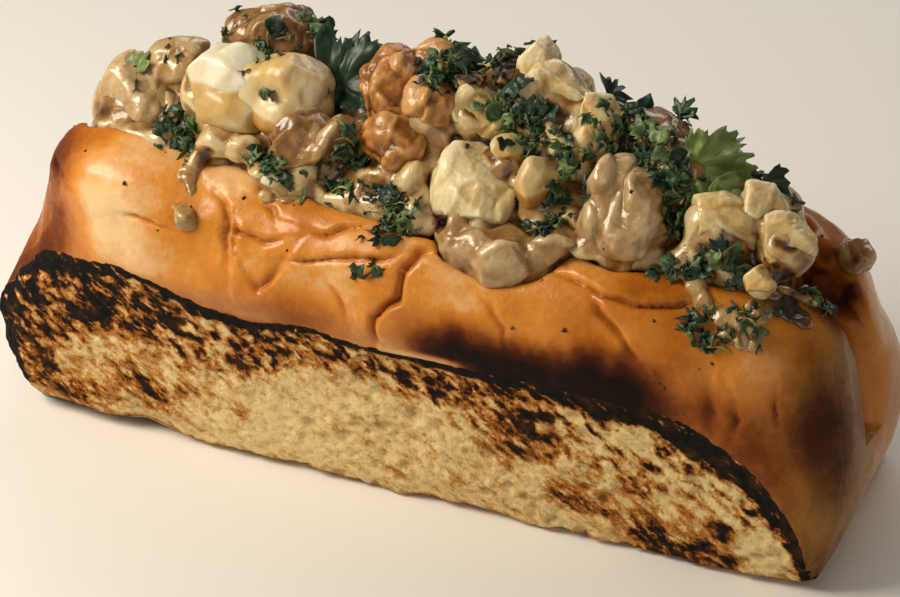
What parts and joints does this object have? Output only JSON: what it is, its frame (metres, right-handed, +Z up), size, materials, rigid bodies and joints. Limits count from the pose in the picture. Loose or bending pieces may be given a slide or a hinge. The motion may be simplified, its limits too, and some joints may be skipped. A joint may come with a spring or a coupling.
{
  "type": "lobster roll",
  "caption": "Filled split-top bun with toasted cut sides, a sauce-bound seafood filling heaped along the slit, and torn pieces of pale meat bedded in the heap.",
  "frame": {"origin": "middle of the bun's flat base", "axes": "+X along the bun towards its lower, more open end; +Y across the bun towards the rear cut side, so that the cut side shown in the picture faces -Y; +Z up"},
  "size_m": [0.1588, 0.0555, 0.0798],
  "materials": {
    "crust": "baked, satin, glazed brown crust; the cut sides are toasted crumb with a charred top edge",
    "sauce": "wet beige dressing",
    "meat_white": "wet, milky white meat",
    "meat_cream": "moist, cream-yellow flaked meat",
    "meat_coated": "meat coated in wet beige dressing",
    "meat_roasted": "roasted orange-brown meat",
    "meat_charred": "charred, nearly black"
  },
  "bodies": {
    "root": {"back_brown": "meat_coated", "back_coated": "meat_coated", "back_end": "meat_cream", "back_flake": "meat_cream", "back_knuckle": "meat_cream", "back_lump": "meat_coated", "back_segment": "meat_white", "back_tail": "meat_white", "behind_leaf": "meat_coated", "bun": "crust", "charred_lower": "meat_charred", "charred_upper": "meat_charred", "coated_front": "meat_coated", "coated_long": "meat_coated", "end_crown": "meat_coated", "end_piece": "meat_coated", "filling": "sauce", "flake_crown": "meat_cream", "flake_large": "meat_cream", "flake_right": "meat_cream", "flake_tip": "meat_cream", "flake_upper": "meat_cream", "flake_wedge": "meat_cream", "folded_piece": "meat_coated", "knuckle_left": "meat_cream", "knuckle_right": "meat_cream", "knuckle_top": "meat_cream", "lip_morsel": "meat_coated", "morsel": "meat_cream", "roasted_crown": "meat_roasted", "roasted_lower": "meat_roasted", "roasted_middle": "meat_roasted", "roasted_upper": "meat_roasted", "segment_pale": "meat_white", "segment_second": "meat_white", "tail_crown": "meat_coated", "tail_lower": "meat_white", "tail_second": "meat_white", "tail_white": "meat_white"}
  },
  "joints": []
}
